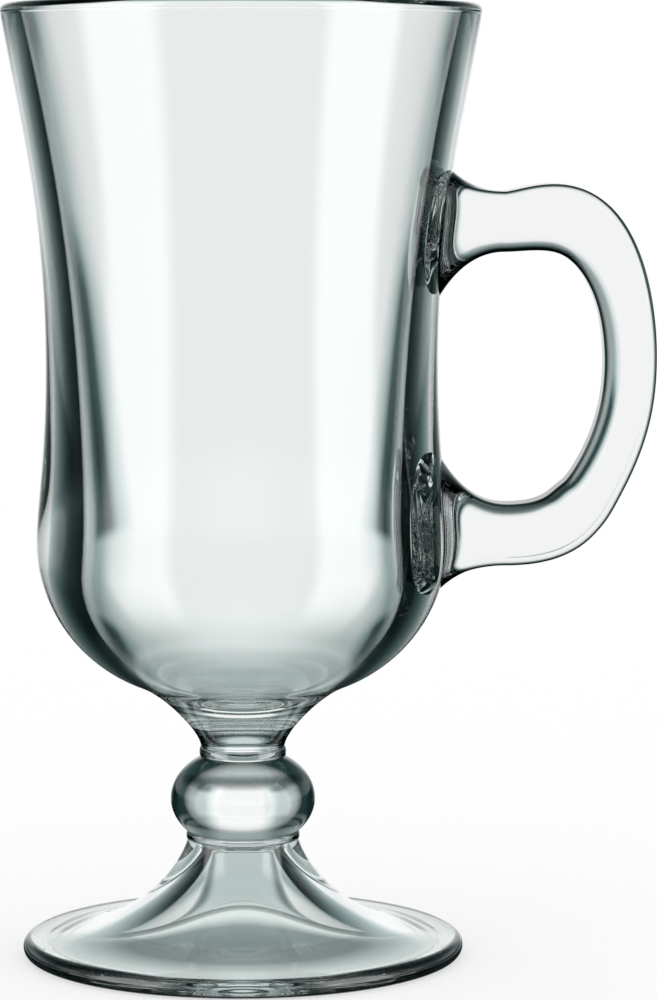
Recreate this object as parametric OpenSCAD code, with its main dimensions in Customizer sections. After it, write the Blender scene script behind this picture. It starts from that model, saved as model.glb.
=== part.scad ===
// Glass mug for hot coffee: a waisted bowl with a looped handle, on a ball knop and a hollow foot.
// The gathers of glass are separate solids that meet at their fused seams.
// The origin is the middle of the foot on the table, Z is up and the handle points along +X.

/* [Bowl] */
// Height of the bowl, from its seam on the stem to the top of the rim
bowl_h = 112.8; // [108:0.2:118]
// Radius of the widest ring of the rim
rim_r = 37.3; // [36:0.1:39]
// Outward lean of the wall at the rim, in degrees
rim_lean = 10.2; // [7:0.2:14]
// Height of the rounded lip above the widest ring
lip_h = 1.4; // [1:0.1:2]
// Thickness of the wall at the lip
lip_wall = 3; // [2.4:0.1:3.6]
// Smallest radius of the waist
waist_r = 30.6; // [29.6:0.1:31.4]
// Height of the waist above the bowl's seam
waist_up = 57.4; // [52:0.2:62]
// Radius of the belly
belly_r = 32.2; // [31.6:0.1:34]
// Height of the belly above the bowl's seam
belly_up = 29; // [27:0.2:32]
// Radius where the underside turns from hollow to round
turn_r = 17; // [15.5:0.1:18.5]
// Height of that turn above the bowl's seam
turn_up = 6.7; // [6:0.1:8]
// Lean of the underside at that turn, in degrees from upright
turn_lean = 68.5; // [62:0.5:74]
// Radius of the bowl at its seam on the stem
base_r = 8.4; // [7.8:0.1:9.2]
// Lean of the bowl at that seam, in degrees from upright
base_lean = 40; // [34:1:46]

/* [Inside of the bowl] */
// Thickness of the wall between the waist and the well, where the inner wall is upright
waist_wall = 5.5; // [4.8:0.1:6.2]
// Thickness of the glass under the lowest point of the well
floor_t = 5.5; // [4:0.1:7]
// Height over which the floor rounds up into the wall
floor_round = 20; // [17:0.5:23]
// How late the inner wall flares: 1 is a straight cone, more keeps it upright for longer
flare_power = 2.4; // [1.9:0.1:3]

/* [Stem] */
// Height of the neck under the bowl
neck_h = 3.4; // [2.8:0.1:4.4]
// Smallest radius of the neck
neck_r = 6.6; // [6:0.1:7.4]
// Height of the ring between neck and knop
upper_ring_h = 1.6; // [1.2:0.1:2.4]
// Height of the ring between knop and foot
lower_ring_h = 1.2; // [0.9:0.1:2]
// How far each ring's rounded edge stands out
ring_bead = 0.25; // [0.15:0.05:0.5]
// Largest radius of the ball knop
knop_r = 11.4; // [10.4:0.1:12.5]
// Half height that the ball would have if it weren't cut by the rings
knop_half_h = 8.1; // [7.4:0.1:9.2]

/* [Foot] */
// Height of the foot
foot_h = 18.4; // [16.8:0.1:20]
// Radius of the foot's top, under the lower ring
foot_top_r = 8.7; // [8.2:0.1:9.6]
// Lean of the foot's cone under the ring, in degrees from upright
cone_lean = 16.5; // [13:0.5:21]
// Radius where the rounded edge of the foot begins
edge_r = 33.2; // [31.5:0.1:35]
// Thickness of the foot at its edge
edge_t = 3; // [2.5:0.1:3.6]
// Inner radius of the flat ring that rests on the table
rest_inner_r = 30.7; // [29.5:0.1:31.2]
// Radius of the flat top of the hollow in the foot
hollow_top_r = 4.9; // [4.2:0.1:5.4]
// Thickness of the glass over the hollow
hollow_roof_t = 1.4; // [1.1:0.1:2.4]
// Radius that rounds the hollow's top edge
hollow_round = 0.8; // [0.4:0.1:1.2]

/* [Handle] */
// Height of the lower arm's middle above the bowl's seam
low_arm_up = 30.4; // [29:0.2:33]
// Distance from the lower arm's middle up to the upper arm's middle
arm_spread = 48.7; // [46:0.1:51]
// Stand-off of the grip from the waist of the bowl
grip_out = 30.6; // [28.5:0.1:32.5]
// Width of the handle, across the mug
handle_w = 11.5; // [9.5:0.1:12.5]
// Thickness of the grip, in the plane of the loop
grip_t = 8; // [7:0.1:9]
// Thickness of the arms where they meet their roots
arm_t = 9.4; // [8.4:0.1:10.2]
// Thickness of the thumb crest
crest_t = 12; // [10.8:0.1:13]
// Rise of the thumb crest over the upper arm's middle
crest_rise = 2.7; // [1.8:0.1:3.6]
// Thickness of the elbow
elbow_t = 9.5; // [8.6:0.1:10.4]
// Radius on the handle's corners outside the loop
outer_round = 1.4; // [0.8:0.1:2]
// Radius on the handle's corners inside the loop
inner_round = 3.3; // [2.2:0.1:3.8]

/* [Handle roots] */
// Length of each root, from the bowl's wall out to the handle
root_len = 9; // [8:0.1:10]
// How far the root widens to each side on the wall
root_side_flare = 2; // [1.4:0.1:3]
// How late the root widens to the sides: 1 goes with its height, more keeps the sides flat for longer
side_lateness = 2.5; // [1.6:0.1:3]
// How far the upper root spreads up the wall
upper_flare_up = 3.1; // [2.4:0.1:4]
// How far the upper root spreads down the wall
upper_flare_down = 7; // [5.8:0.1:8.2]
// How far the lower root spreads up the wall
lower_flare_up = 7; // [5.8:0.1:8.2]
// How far the lower root spreads down the wall
lower_flare_down = 4; // [3:0.1:5]
// Shape of the root's print on the wall: 2 is an ellipse, more is squarer
print_squareness = 2.6; // [2.2:0.1:3.4]
// Thickness of the root's thin edge on the wall
root_edge = 0.15; // [0.1:0.05:0.3]

/* [Hidden] */
$fn = 120;

// A shade of clear green-grey glass for each kind of piece
bowl_tint = [0.80, 0.88, 0.87, 0.55];
stem_tint = [0.70, 0.80, 0.79, 0.75];
ring_tint = [0.56, 0.68, 0.67, 0.85];
loop_tint = [0.76, 0.86, 0.85, 0.65];
root_tint = [0.50, 0.63, 0.62, 0.85];

// Points on each curved stretch of an outline, and rings and corner points of the handle
curve_steps = 10;
short_steps = 5;
loop_rings = 56;
root_rings = 10;
corner_steps = 6;

// The share of a handle's length that turns two tangents into nearly a quarter of an ellipse
quarter = 0.552;

// Heights of the seams, counted up from the table
knop_low = knop_half_h * sqrt(1 - pow(foot_top_r / knop_r, 2));
knop_high = knop_half_h * sqrt(1 - pow(neck_r / knop_r, 2));
knop_z = foot_h + lower_ring_h;
knop_mid_z = knop_z + knop_low;
upper_ring_z = knop_mid_z + knop_high;
neck_z = upper_ring_z + upper_ring_h;
bowl_z = neck_z + neck_h;

// Heights on the bowl
belly_z = bowl_z + belly_up;
waist_z = bowl_z + waist_up;
rim_top_z = bowl_z + bowl_h;
rim_ring_z = rim_top_z - lip_h;
well_r = waist_r - waist_wall;
well_z = bowl_z + floor_t;
well_wall_z = well_z + floor_round;
mouth_r = rim_r - lip_wall;

// How far each end of a curve holds its direction
base_pull = 3.6;
turn_pull = 3.6;
turn_up_pull = 8.7;
belly_low_pull = 10.7;
belly_high_pull = 6.2;
waist_low_pull = 15.2;
waist_high_pull = 22.6;
rim_pull = 19.3;
neck_pull = 1;
cone_pull = 7;
apron_pull = 13.4;
hollow_pull = 7.5;
hollow_apron_pull = 14.8;
hollow_apron_rise = 1.9;

// A step of a given length, leaning out from upright
function lean(length, angle) = [length * sin(angle), length * cos(angle)];

function bezier_point(a, b, c, d, t) =
  pow(1 - t, 3) * a + 3 * pow(1 - t, 2) * t * b + 3 * (1 - t) * t * t * c + pow(t, 3) * d;

// Points along a cubic curve, without its first one, so that curves can be chained
function curve(a, b, c, d, steps) = [for (i = [1:steps]) bezier_point(a, b, c, d, i / steps)];

// The bowl's outer wall, from its seam up to the widest ring of the rim
base_point = [base_r, bowl_z];
turn_point = [turn_r, bowl_z + turn_up];
belly_point = [belly_r, belly_z];
waist_point = [waist_r, waist_z];
rim_point = [rim_r, rim_ring_z];
outer_wall = concat(
  [base_point],
  curve(
    base_point, base_point + lean(base_pull, base_lean),
    turn_point - lean(turn_pull, turn_lean), turn_point, short_steps
  ),
  curve(
    turn_point, turn_point + lean(turn_up_pull, turn_lean),
    belly_point - [0, belly_low_pull], belly_point, curve_steps
  ),
  curve(
    belly_point, belly_point + [0, belly_high_pull],
    waist_point - [0, waist_low_pull], waist_point, curve_steps
  ),
  curve(
    waist_point, waist_point + [0, waist_high_pull],
    rim_point - lean(rim_pull, rim_lean), rim_point, curve_steps
  )
);

// The rounded lip, over the top and down to the mouth
lip_mid = [rim_r - lip_wall / 2, rim_top_z];
mouth_point = [mouth_r, rim_ring_z];
lip_side = quarter * lip_wall / 2;
lip = concat(
  curve(
    rim_point, rim_point + lean(quarter * lip_h, rim_lean),
    lip_mid + [lip_side, 0], lip_mid, short_steps
  ),
  curve(
    lip_mid, lip_mid - [lip_side, 0],
    mouth_point + [0, quarter * lip_h], mouth_point, short_steps
  )
);

// Radius of the inner wall at a share of its height, above the rounded floor
function inner_r(share) = well_r + (mouth_r - well_r) * pow(share, flare_power);

inner_wall = concat(
  [
    for (i = [1:2 * curve_steps])
      let (share = 1 - i / (2 * curve_steps))
        [inner_r(share), well_wall_z + share * (rim_ring_z - well_wall_z)]
  ],
  [
    for (i = [1:curve_steps])
      let (turn = 90 * i / curve_steps)
        [well_r * cos(turn), well_wall_z - floor_round * sin(turn)]
  ]
);

// Radius of the bowl's outside at a height, and the same list the other way round for lookup
wall_by_height = [for (p = outer_wall) [p[1], p[0]]];
function wall_r(z) = lookup(z, wall_by_height);

module bowl() {
  color(bowl_tint)
    rotate_extrude()
      polygon(concat([[0, bowl_z]], outer_wall, lip, inner_wall));
}

module stem_neck() {
  top = [base_r, bowl_z];
  low = [neck_r, neck_z];
  color(stem_tint)
    rotate_extrude()
      polygon(concat(
        [[0, neck_z], low],
        curve(low, low + [0, neck_pull], top - lean(neck_pull, base_lean), top, short_steps),
        [[0, bowl_z]]
      ));
}

// A flat disc with a rounded edge that stands out a little
module stem_ring(z, r, h) {
  color(ring_tint)
    rotate_extrude()
      polygon(concat(
        [[0, z]],
        [
          for (i = [0:2 * short_steps])
            let (turn = 180 * i / (2 * short_steps))
              [r + ring_bead * sin(turn), z + h * (1 - cos(turn)) / 2]
        ],
        [[0, z + h]]
      ));
}

module upper_stem_ring() {
  stem_ring(upper_ring_z, neck_r, upper_ring_h);
}

module lower_stem_ring() {
  stem_ring(foot_h, foot_top_r, lower_ring_h);
}

// A ball that is wider than it is high, cut flat where the rings sit
module ball_knop() {
  low_turn = asin(knop_low / knop_half_h);
  high_turn = asin(knop_high / knop_half_h);
  steps = 3 * curve_steps;
  color(stem_tint)
    rotate_extrude()
      polygon(concat(
        [[0, knop_z]],
        [
          for (i = [0:steps])
            let (turn = -low_turn + (low_turn + high_turn) * i / steps)
              [knop_r * cos(turn), knop_mid_z + knop_half_h * sin(turn)]
        ],
        [[0, upper_ring_z]]
      ));
}

// A hollow cone that runs out into a thin apron with a rounded edge and a flat ring under it
module foot() {
  top = [foot_top_r, foot_h];
  edge = [edge_r, edge_t];
  rest = [rest_inner_r, 0];
  roof = [hollow_top_r, foot_h - hollow_roof_t - hollow_round];
  roof_mid = [hollow_top_r - hollow_round, foot_h - hollow_roof_t];
  color(stem_tint)
    rotate_extrude()
      polygon(concat(
        [[0, foot_h], top],
        curve(
          top, top + lean(cone_pull, 180 - cone_lean),
          edge - [apron_pull, 0], edge, 2 * curve_steps
        ),
        [
          for (i = [1:2 * short_steps])
            let (turn = 90 - 180 * i / (2 * short_steps))
              [edge_r + edge_t / 2 * cos(turn), edge_t / 2 * (1 + sin(turn))]
        ],
        [rest],
        curve(
          rest, rest + [-hollow_apron_pull, hollow_apron_rise],
          roof + lean(hollow_pull, 180 - cone_lean), roof, 2 * curve_steps
        ),
        curve(
          roof, roof + lean(quarter * hollow_round, -cone_lean),
          roof_mid + [quarter * hollow_round, 0], roof_mid, short_steps
        ),
        [[0, foot_h - hollow_roof_t]]
      ));
}

// Heights and distances of the handle's ends
low_arm_z = bowl_z + low_arm_up;
high_arm_z = low_arm_z + arm_spread;
low_end_x = wall_r(low_arm_z) + root_len;
high_end_x = wall_r(high_arm_z) + root_len;
grip_x = waist_r + grip_out;

// How the loop's control points lie inside the grip, and over and under the arms
high_arm_run = 2.5;
crest_in = 9.7;
shoulder_in = 1.1;
shoulder_drop = 8.8;
grip_rise = 19.4;
bend_in = 6.7;
bend_rise = 6.3;
elbow_in = 8.6;
elbow_rise = 4.3;
low_arm_run = 6.8;

// Control points of the loop: distance from the axis, height and thickness
loop = [
  [high_end_x, high_arm_z, arm_t],
  [high_end_x + high_arm_run, high_arm_z, arm_t],
  [grip_x - crest_in, high_arm_z + crest_rise, crest_t],
  [grip_x - shoulder_in, high_arm_z - shoulder_drop, grip_t],
  [grip_x, low_arm_z + grip_rise, grip_t],
  [grip_x - bend_in, low_arm_z + bend_rise, grip_t],
  [grip_x - elbow_in, low_arm_z + elbow_rise, elbow_t],
  [low_end_x + low_arm_run, low_arm_z, arm_t],
  [low_end_x, low_arm_z, arm_t]
];
spans = len(loop) - 3;

// Weight of one control point on a cubic spline that starts and ends at its outer points
function knot(i) = min(max(i - 3, 0), spans);
function rise(i, k, u) = knot(i + k) == knot(i) ? 0 : (u - knot(i)) / (knot(i + k) - knot(i));
function weight(i, k, u) =
  k == 0
    ? (u >= knot(i) && u < knot(i + 1) ? 1 : 0)
    : rise(i, k, u) * weight(i, k - 1, u) + (1 - rise(i + 1, k, u)) * weight(i + 1, k - 1, u);

// A place on the loop, with u from 0 at the upper end to just under the number of spans
function sum_points(list, i = 0) = i == len(list) - 1 ? list[i] : list[i] + sum_points(list, i + 1);
function loop_at(u) = sum_points([for (i = [0:len(loop) - 1]) weight(i, 3, u) * loop[i]]);

// The corner points of the section: y across the mug, and n outwards from the loop
corners = [[1, 1], [1, -1], [-1, -1], [-1, 1]];
function section(t) = [
  for (c = [0:3], i = [0:corner_steps])
    let (side = corners[c][1], across = corners[c][0])
      let (r = side > 0 ? outer_round : inner_round)
        let (turn = 90 * (c + i / corner_steps))
          [
            across * (handle_w / 2 - r) + r * sin(turn),
            side * (t / 2 - r) + r * cos(turn)
          ]
];

// One ring of the handle, square to the loop's path
loop_end = spans - 0.0001;
path_step = 0.001;
function loop_ring(u) =
  let (here = loop_at(u))
    let (step = loop_at(min(u + path_step, loop_end)) - loop_at(max(u - path_step, 0)))
      let (way = [step[0], step[1]] / norm([step[0], step[1]]))
        [for (p = section(here[2])) [here[0] - way[1] * p[1], p[0], here[1] + way[0] * p[1]]];

// Walls between rings of points, closed by a flat face at each end
module skin(rings) {
  m = len(rings[0]);
  n = len(rings);
  polyhedron(
    points = [for (ring = rings, p = ring) p],
    faces = concat(
      [[for (j = [0:m - 1]) j]],
      [
        for (i = [0:n - 2], j = [0:m - 1], half = [0, 1])
          let (a = i * m + j, b = i * m + (j + 1) % m)
            half == 0 ? [a, a + m, b + m] : [a, b + m, b]
      ],
      [[for (j = [m - 1:-1:0]) (n - 1) * m + j]]
    )
  );
}

module handle() {
  color(loop_tint)
    skin([for (i = [0:loop_rings]) loop_ring(loop_end * i / loop_rings)]);
}

// The stretch of the bowl's outside that a root sits on, as a solid core
module wall_core(low_z, high_z) {
  rotate_extrude()
    polygon(concat(
      [[0, low_z], [wall_r(low_z), low_z]],
      [for (p = outer_wall) if (p[1] > low_z && p[1] < high_z) p],
      [[wall_r(high_z), high_z], [0, high_z]]
    ));
}

// A flared pad: it starts as the handle's end and fillets out onto the bowl's wall
fillet_turn = 45;
core_margin = 4;
module handle_root(z, side, flare_up, flare_down) {
  end_x = wall_r(z) + root_len;
  start = section(arm_t);
  foot_print = [
    for (p = start)
      let (y = 2 * p[0] / handle_w, n = 2 * side * p[1] / arm_t, power = print_squareness)
        let (reach = pow(pow(abs(y), power) + pow(abs(n), power), -1 / power))
          [
            y * reach * (handle_w / 2 + root_side_flare),
            n * reach * (arm_t / 2 + (n > 0 ? flare_up : flare_down))
          ]
  ];
  wall_x = [for (p = foot_print) sqrt(pow(wall_r(z + p[1]), 2) - p[0] * p[0])];
  fillet = [
    for (i = [0:root_rings])
      let (turn = fillet_turn * i / root_rings)
        let (along = sin(turn) / sin(fillet_turn), spread = (1 - cos(turn)) / (1 - cos(fillet_turn)))
          [
            for (j = [0:len(start) - 1])
              let (p = start[j], q = foot_print[j], last_x = wall_x[j] + root_edge)
                [
                  end_x + (last_x - end_x) * along,
                  p[0] + (q[0] - p[0]) * pow(spread, side_lateness),
                  z + side * p[1] + (q[1] - side * p[1]) * spread
                ]
          ]
  ];
  sunk_x = min(wall_x) - root_edge;
  sunk = [for (q = foot_print) [sunk_x, q[0], z + q[1]]];
  difference() {
    skin(side > 0 ? concat([sunk], [for (i = [root_rings:-1:0]) fillet[i]]) : concat(fillet, [sunk]));
    wall_core(z - arm_t / 2 - flare_down - core_margin, z + arm_t / 2 + flare_up + core_margin);
  }
}

module upper_handle_root() {
  color(root_tint)
    handle_root(high_arm_z, 1, upper_flare_up, upper_flare_down);
}

module lower_handle_root() {
  color(root_tint)
    handle_root(low_arm_z, -1, lower_flare_up, lower_flare_down);
}

bowl();
stem_neck();
upper_stem_ring();
ball_knop();
lower_stem_ring();
foot();
handle();
upper_handle_root();
lower_handle_root();
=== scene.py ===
"""Looks of the glass mug for hot coffee: pieces of smooth glass, a white table and a studio for glass."""
import math

import bpy
import numpy as np
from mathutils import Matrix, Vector, geometry


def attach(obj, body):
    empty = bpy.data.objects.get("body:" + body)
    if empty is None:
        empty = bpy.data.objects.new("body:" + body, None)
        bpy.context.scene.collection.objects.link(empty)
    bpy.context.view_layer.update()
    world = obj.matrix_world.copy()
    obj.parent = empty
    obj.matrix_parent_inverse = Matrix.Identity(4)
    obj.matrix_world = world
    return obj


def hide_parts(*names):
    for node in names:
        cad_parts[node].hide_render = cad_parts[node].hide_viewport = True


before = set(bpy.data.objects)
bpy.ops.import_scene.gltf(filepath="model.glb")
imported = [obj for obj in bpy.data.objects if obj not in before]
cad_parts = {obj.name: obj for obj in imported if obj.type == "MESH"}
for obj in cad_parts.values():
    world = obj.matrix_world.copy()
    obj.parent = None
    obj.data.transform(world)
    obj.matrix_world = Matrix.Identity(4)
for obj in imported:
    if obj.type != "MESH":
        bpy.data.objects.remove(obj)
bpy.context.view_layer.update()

MM = 0.001

# Sizes in millimetres, leans in degrees from upright and powers, the same as those of the CAD model
FOOT_H, FOOT_TOP_R, CONE_LEAN = 18.4, 8.7, 16.5
EDGE_R, EDGE_T, REST_INNER_R = 33.2, 3.0, 30.7
HOLLOW_TOP_R, HOLLOW_ROOF_T, HOLLOW_ROUND = 4.9, 1.4, 0.8
NECK_H, NECK_R = 3.4, 6.6
UPPER_RING_H, LOWER_RING_H, RING_BEAD = 1.6, 1.2, 0.25
KNOP_R, KNOP_HALF_H = 11.4, 8.1
BOWL_H, BASE_R, BASE_LEAN = 112.8, 8.4, 40
TURN_R, TURN_UP, TURN_LEAN = 17.0, 6.7, 68.5
BELLY_R, BELLY_UP = 32.2, 29.0
WAIST_R, WAIST_UP, WAIST_WALL = 30.6, 57.4, 5.5
RIM_R, RIM_LEAN, LIP_H, LIP_WALL = 37.3, 10.2, 1.4, 3.0
FLOOR_T, FLOOR_ROUND, FLARE_POWER = 5.5, 20.0, 2.4
LOW_ARM_UP, ARM_SPREAD, GRIP_OUT, CREST_RISE = 30.4, 48.7, 30.6, 2.7
HANDLE_W, ARM_T, CREST_T, GRIP_T, ELBOW_T = 11.5, 9.4, 12.0, 8.0, 9.5
OUTER_ROUND, INNER_ROUND = 1.4, 3.3
ROOT_LEN, ROOT_SIDE_FLARE, SIDE_LATENESS, PRINT_SQUARENESS = 9.0, 2.0, 2.5, 2.6
UPPER_FLARE_UP, UPPER_FLARE_DOWN, LOWER_FLARE_UP, LOWER_FLARE_DOWN = 3.1, 7.0, 7.0, 4.0

# How far each end of a curve holds its direction
BASE_PULL, TURN_PULL, TURN_UP_PULL = 3.6, 3.6, 8.7
BELLY_LOW_PULL, BELLY_HIGH_PULL = 10.7, 6.2
WAIST_LOW_PULL, WAIST_HIGH_PULL, RIM_PULL = 15.2, 22.6, 19.3
NECK_PULL, CONE_PULL, APRON_PULL = 1.0, 7.0, 13.4
HOLLOW_PULL, HOLLOW_APRON_PULL, HOLLOW_APRON_RISE = 7.5, 14.8, 1.9
QUARTER = 0.552         # turns two tangents into nearly a quarter of an ellipse

# Heights above the table, of the seams and of the knop's middle
KNOP_Z = FOOT_H + LOWER_RING_H
KNOP_MID_Z = KNOP_Z + KNOP_HALF_H * math.sqrt(1 - (FOOT_TOP_R / KNOP_R) ** 2)
UPPER_RING_Z = KNOP_MID_Z + KNOP_HALF_H * math.sqrt(1 - (NECK_R / KNOP_R) ** 2)
NECK_Z = UPPER_RING_Z + UPPER_RING_H
BOWL_Z = NECK_Z + NECK_H

# How finely the pieces are divided
SEGMENTS = 256          # columns of every turned piece
FACE_ROWS = 5           # of a flat round face; those under bowl and knop have one more
BASE_ROWS, TURN_ROWS, BELLY_ROWS, WAIST_ROWS = 12, 34, 28, 52
LIP_ROWS, INNER_ROWS, WELL_ROWS = 14, 90, 60
FINE_ROWS = 3000        # of each curve of the wall, where its radius is looked up
NECK_ROWS, BEAD_ROWS, KNOP_ROWS = 16, 24, 48
CONE_ROWS, EDGE_ROWS, CROWN_ROWS, REST_ROWS = 64, 24, 10, 4
CORNER_STEPS, SIDE_STEPS, BROAD_STEPS = 10, 10, 14
LOOP_RINGS, ROOT_ROWS = 221, 22
ON_AXIS = 1e-6          # a smaller radius is a point on the axis

# Material slots of every glass piece
GLASS, SEAM = 0, 1


# Curves

def lean(length, degrees):
    """A step of that length, leaning out from upright, as (radius, height)."""
    angle = math.radians(degrees)
    return np.array([length * math.sin(angle), length * math.cos(angle)])


def bezier(a, b, c, d, steps):
    """Points of a cubic curve as rows of (radius, height)."""
    a, b, c, d = (np.asarray(p, float) for p in (a, b, c, d))
    t = (np.arange(steps + 1) / steps)[:, None]
    return (1 - t) ** 3 * a + 3 * (1 - t) ** 2 * t * b + 3 * (1 - t) * t * t * c + t ** 3 * d


def straight(a, b, steps):
    """Points of a straight line as rows of (radius, height)."""
    t = (np.arange(steps + 1) / steps)[:, None]
    return (1 - t) * np.asarray(a, float) + t * np.asarray(b, float)


def chain(*curves):
    """Curves joined end to end, without the points that they share."""
    return np.vstack([curves[0]] + [curve[1:] for curve in curves[1:]])


# Meshes

class Shell:
    """Points in millimetres and faces, each corner with its own exact normal."""

    def __init__(self):
        self.points, self.faces, self.normals, self.slots = [], [], [], []

    def add(self, points):
        """Adds points and gives the number of the first one."""
        first = len(self.points)
        self.points.extend(tuple(map(float, p)) for p in points)
        return first

    def face(self, corners, normals, slot):
        """Adds a face by its points' numbers, with a normal for each corner."""
        self.faces.append([int(c) for c in corners])
        self.normals.extend(tuple(map(float, n)) for n in normals)
        self.slots.append(slot)

    def build(self, name, cad_node, materials):
        """Makes the piece, in metres, and hides the CAD node that it stands for."""
        used = sorted({c for face in self.faces for c in face})
        order = {c: i for i, c in enumerate(used)}
        mesh = bpy.data.meshes.new(name)
        mesh.from_pydata(
            [tuple(c * MM for c in self.points[i]) for i in used], [],
            [[order[c] for c in face] for face in self.faces])
        for material in materials:
            mesh.materials.append(material)
        mesh.polygons.foreach_set("material_index", self.slots)
        mesh.polygons.foreach_set("use_smooth", [True] * len(self.faces))
        mesh.update()
        mesh.normals_split_custom_set(self.normals)
        piece = bpy.data.objects.new(name, mesh)
        bpy.context.scene.collection.objects.link(piece)
        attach(piece, "root")
        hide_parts(cad_node)


def outline_normals(points):
    """Normals of an outline, square to its smooth direction at every point."""
    step = np.linalg.norm(np.diff(points, axis=0), axis=1)
    along = np.concatenate([[0], np.cumsum(step)])
    way = np.gradient(points, along, axis=0, edge_order=2)
    normal = np.column_stack([way[:, 1], -way[:, 0]])
    return normal / np.linalg.norm(normal, axis=1)[:, None]


ANGLES = 2 * math.pi * np.arange(SEGMENTS) / SEGMENTS
COS, SIN = np.cos(ANGLES), np.sin(ANGLES)


def turned(normal, column):
    """A normal of the outline, turned to a column."""
    return (normal[0] * COS[column], normal[0] * SIN[column], normal[1])


def turned_points(shell, radius, z):
    """The points of one ring, or the single point on the axis."""
    if radius < ON_AXIS:
        return [shell.add([(0, 0, z)])]
    first = shell.add(np.column_stack([radius * COS, radius * SIN, np.full(SEGMENTS, z)]))
    return list(range(first, first + SEGMENTS))


def in_hole(holes, strip, row, column):
    """Whether a face lies in a hole: (strip number, first row, last row, half width in columns)."""
    from_middle = min(column, SEGMENTS - 1 - column)
    return any(strip == s and first <= row < last and from_middle < half for s, first, last, half in holes)


def lathe(shell, strips, holes=()):
    """Turns an outline about Z. It runs up the outside from the axis and comes back to it.

    Each strip is (points, slot), smooth in itself and creased where it meets the next. The holes,
    which have their middle on +X, are left open. The rings of each strip come back as lists of
    point numbers.
    """
    rings, last_ring = [], None
    for number, (points, slot) in enumerate(strips):
        normals = outline_normals(points)
        own = [turned_points(shell, *points[0]) if last_ring is None else last_ring]
        own.extend(turned_points(shell, radius, z) for radius, z in points[1:])
        for row in range(len(points) - 1):
            low, high, a, b = own[row], own[row + 1], normals[row], normals[row + 1]
            for k in range(SEGMENTS):
                n = (k + 1) % SEGMENTS
                if in_hole(holes, number, row, k):
                    continue
                if len(low) == 1:
                    tip = (0, 0, math.copysign(1, a[1]))
                    shell.face([low[0], high[n], high[k]], [tip, turned(b, n), turned(b, k)], slot)
                elif len(high) == 1:
                    tip = (0, 0, math.copysign(1, b[1]))
                    shell.face([low[k], low[n], high[0]], [turned(a, k), turned(a, n), tip], slot)
                else:
                    shell.face(
                        [low[k], low[n], high[n], high[k]],
                        [turned(a, k), turned(a, n), turned(b, n), turned(b, k)], slot)
        last_ring = own[-1]
        rings.append(own)
    return rings


def grid(shell, points, normals, clockwise):
    """Glass walls between rings of points that all run the same way, seen along the rings."""
    count, m = points.shape[:2]
    first = shell.add(points.reshape(-1, 3))
    number = first + np.arange(count * m).reshape(count, m)
    for i in range(count - 1):
        for j in range(m):
            n = (j + 1) % m
            corners = [(i, j), (i, n), (i + 1, n), (i + 1, j)]
            if clockwise:
                corners.reverse()
            shell.face([number[c] for c in corners], [normals[c] for c in corners], GLASS)
    return number


def cap(shell, ring, facing):
    """A welded flat end square to X, as one face that faces up or down that axis."""
    y, z = np.array([shell.points[i][1:] for i in ring]).T
    area = (y * np.roll(z, -1) - np.roll(y, -1) * z).sum()
    ring = list(ring) if area * facing > 0 else list(ring)[::-1]
    shell.face(ring, [(facing, 0, 0)] * len(ring), SEAM)


# Node trees

FIRST_BOUNCE = 0.5      # a limit between no bounce of a kind and the first one


class Nodes:
    """The node tree of a material or a world, emptied, with short ways to build it up."""

    def __init__(self, owner):
        owner.use_nodes = True
        self.tree = owner.node_tree
        self.tree.nodes.clear()

    def add(self, kind, inputs, **settings):
        """A node with its settings. Each input is a plain value or an output of another node."""
        made = self.tree.nodes.new(kind)
        for key, value in settings.items():
            setattr(made, key, value)
        for key, value in inputs.items():
            if isinstance(value, bpy.types.NodeSocket):
                self.tree.links.new(value, made.inputs[key])
            else:
                made.inputs[key].default_value = value
        return made

    def calc(self, operation, *values):
        """The result of a sum or comparison of values or outputs."""
        return self.add("ShaderNodeMath", dict(enumerate(values)), operation=operation).outputs[0]

    def mix(self, a, b, share):
        """A brightness that goes from a to b as the share goes from 0 to 1."""
        kept = self.calc("MULTIPLY", a, self.calc("SUBTRACT", 1.0, share))
        return self.calc("ADD", kept, self.calc("MULTIPLY", b, share))

    def rise(self, value, low, high):
        """A smooth step from 0 at low to 1 at high."""
        step = self.add(
            "ShaderNodeMapRange", {"Value": value, "From Min": low, "From Max": high},
            interpolation_type="SMOOTHSTEP")
        return step.outputs["Result"]

    def fall(self, value, low, high):
        """A smooth step from 1 at low to 0 at high."""
        return self.calc("SUBTRACT", 1.0, self.rise(value, low, high))

    def ramp(self, value, stops, interpolation="LINEAR"):
        """A colour that follows stops of (value from 0 to 1, brightness or colour)."""
        made = self.add("ShaderNodeValToRGB", {"Fac": value})
        made.color_ramp.interpolation = interpolation
        items = made.color_ramp.elements
        for position, _ in stops[1:-1]:
            items.new(position)
        for item, (position, colour) in zip(items, stops):
            item.position = position
            item.color = (*colour, 1) if isinstance(colour, tuple) else (colour, colour, colour, 1)
        return made.outputs["Color"]

    def mix_shaders(self, a, b, share):
        """A shader that goes from a to b as the share goes from 0 to 1."""
        made = self.add("ShaderNodeMixShader", {"Fac": share, 1: a, 2: b})
        return made.outputs["Shader"]

    def emission(self, colour):
        return self.add("ShaderNodeEmission", {"Color": colour, "Strength": 1.0}).outputs["Emission"]

    def surface(self, shader):
        self.add("ShaderNodeOutputMaterial", {"Surface": shader})


# Glass

IOR = 1.52

# Colours of the glass seen square on and at a slant, and of what it mirrors. The slanted colours are partly
# the glass's deeper tint and mostly painted shade for dark edges.
TINT, HANDLE_TINT = (0.975, 0.998, 0.992), (0.905, 0.922, 0.915)
SLANT_TINT_AND_PAINTED_SHADE, BOWL_SLANT_TINT_AND_PAINTED_SHADE = (0.0008, 0.004, 0.0038), (0.52, 0.59, 0.58)
FULL_GLOSS, DIM_GLOSS = (1.0, 1.0, 1.0), (0.22, 0.28, 0.28)
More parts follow.
